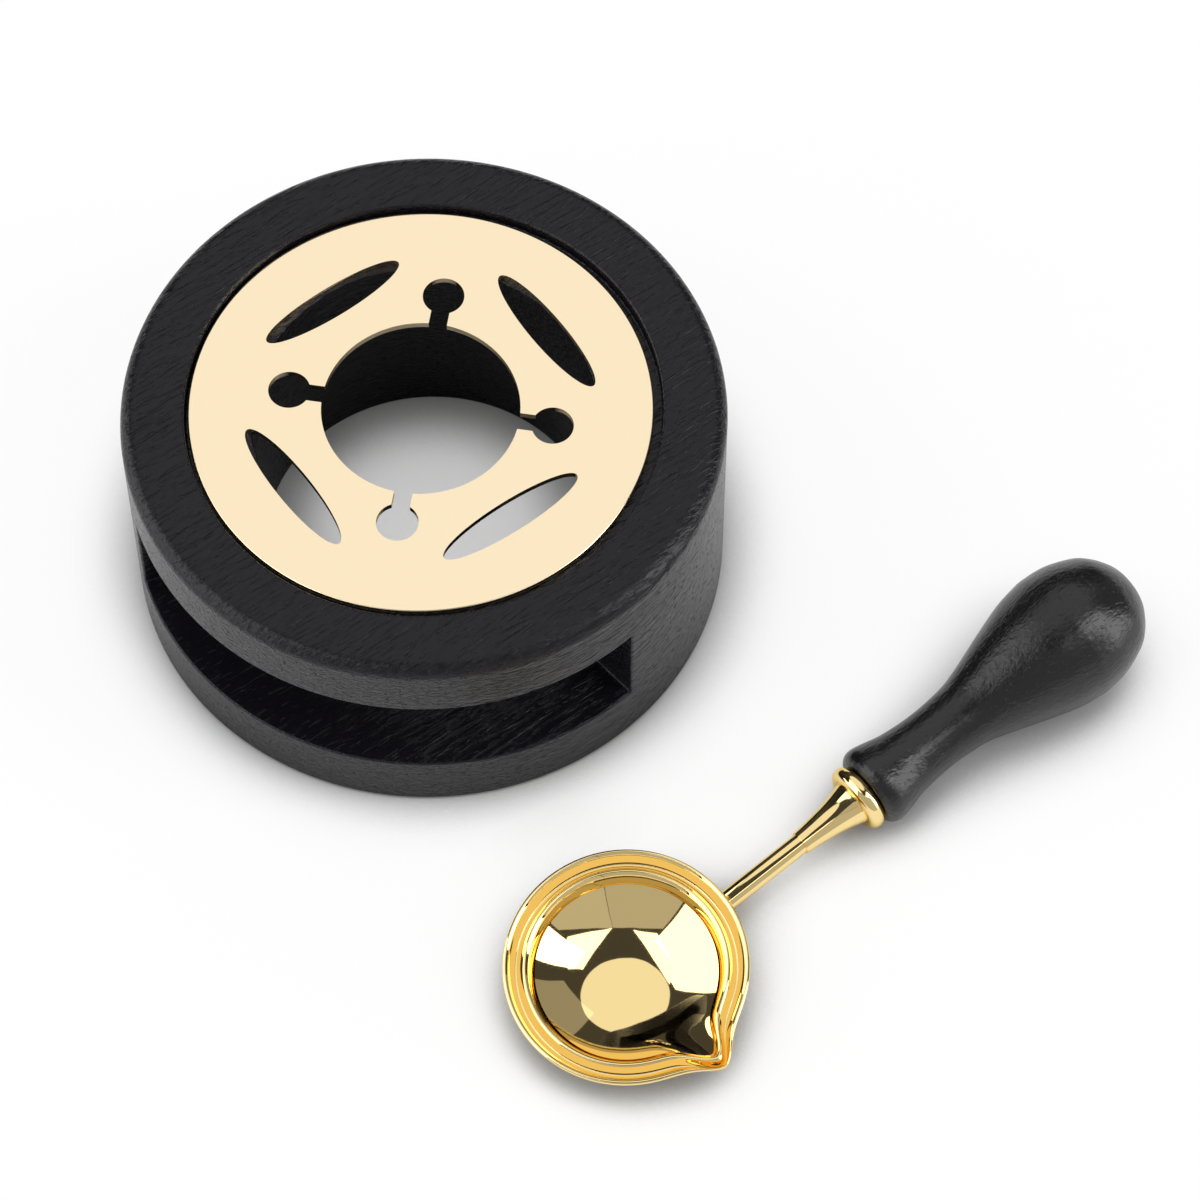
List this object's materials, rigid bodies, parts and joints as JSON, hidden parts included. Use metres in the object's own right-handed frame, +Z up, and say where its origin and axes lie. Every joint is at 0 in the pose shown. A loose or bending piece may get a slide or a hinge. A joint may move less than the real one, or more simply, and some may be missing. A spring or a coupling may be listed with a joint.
{
  "type": "wax seal melting set",
  "caption": "Turned black wooden tea-light warmer with a drop-in pierced metal grate, and a metal melting spoon with a pouring lip and a black pear-shaped wooden handle.",
  "frame": {"origin": "centre of the warmer's foot, on the table", "axes": "+Z up along the warmer's bore, -Y towards the candle slot and the viewer, +X towards the side where the spoon lies"},
  "size_m": [0.1447, 0.1317, 0.0375],
  "materials": {
    "black_painted_wood": "satin black paint over open grain",
    "pale_gold_plate": "polished pale gold plating",
    "gold_spoon": "mirror polished gold plating",
    "black_lacquered_wood": "black lacquer over fine grain"
  },
  "bodies": {
    "warmer": {"warmer_body": "black_painted_wood"},
    "grate": {"grate_plate": "pale_gold_plate"},
    "spoon": {"spoon_bowl": "gold_spoon", "stem_rod": "gold_spoon", "stem_ferrule": "gold_spoon", "spoon_handle": "black_lacquered_wood"}
  },
  "joints": [
    {"name": "grate_lift", "type": "slide", "parent": "warmer", "child": "grate", "axis": [0, 0, 1], "range_m": [0, 0.04]},
    {"name": "spoon_lift", "type": "slide", "parent": "warmer", "child": "spoon", "axis": [0, 0, 1], "range_m": [0, 0.06]}
  ]
}
